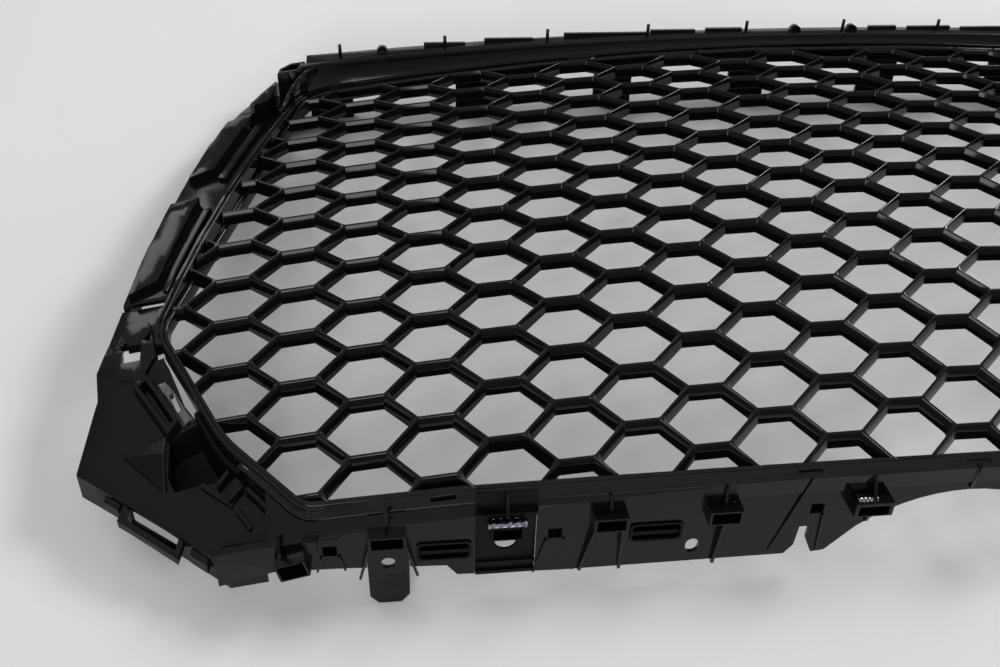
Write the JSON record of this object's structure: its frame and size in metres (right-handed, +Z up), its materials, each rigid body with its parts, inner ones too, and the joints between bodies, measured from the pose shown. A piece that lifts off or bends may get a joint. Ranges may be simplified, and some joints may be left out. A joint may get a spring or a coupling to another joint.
{
  "type": "front grille",
  "caption": "Crowned honeycomb front grille in a clipped carrier with a latch flange, corner brackets, side panels and a lower lip.",
  "frame": {"origin": "middle of the box around the grille, on the surface it lies on, face up", "axes": "+X across the car, +Y from the latch flange towards the lower lip, +Z up, out of the visible face"},
  "size_m": [1.026, 0.3978, 0.0975],
  "materials": {
    "gloss_black": "piano black, high gloss",
    "carrier_black": "black moulded plastic, glossy with a slight orange peel",
    "inner_black": "black moulded plastic, satin",
    "spring_steel": "bright spring steel",
    "strip_metal": "plain galvanised strip"
  },
  "bodies": {
    "root": {"honeycomb_mesh": "gloss_black", "bead_latch_side": "gloss_black", "bead_lip_side": "gloss_black", "bead_left": "gloss_black", "bead_right": "gloss_black", "latch_flange": "carrier_black", "bottom_lip": "gloss_black", "lip_flange": "carrier_black", "lip_skirt": "carrier_black", "lip_pins": "carrier_black", "lip_tabs": "carrier_black", "lip_clips": "carrier_black", "snap_receivers_left": "carrier_black", "snap_receivers_right": "carrier_black", "flange_cups_left": "inner_black", "flange_cups_right": "inner_black", "fixing_tab_left": "carrier_black", "fixing_tab_right": "carrier_black", "bay_bridge_left": "inner_black", "bay_bridge_right": "inner_black", "bay_spring_left": "spring_steel", "bay_spring_right": "spring_steel", "latch_receiver_left": "carrier_black", "latch_receiver_right": "carrier_black", "latch_spring_left": "spring_steel", "latch_spring_right": "spring_steel", "hook_receiver_left": "carrier_black", "hook_receiver_right": "carrier_black", "side_panel_left": "carrier_black", "side_panel_right": "carrier_black", "side_pads_left": "carrier_black", "side_pads_right": "carrier_black", "lip_corner_left": "carrier_black", "lip_corner_right": "carrier_black", "corner_bracket_left": "carrier_black", "corner_bracket_right": "carrier_black", "bracket_ribs_left": "carrier_black", "bracket_ribs_right": "carrier_black", "corner_pocket_left": "inner_black", "corner_pocket_right": "inner_black", "corner_strip_left": "strip_metal", "corner_strip_right": "strip_metal", "corner_gusset_left": "carrier_black", "corner_gusset_right": "carrier_black", "skirt_clip_left": "carrier_black", "skirt_clip_right": "carrier_black"}
  },
  "joints": []
}
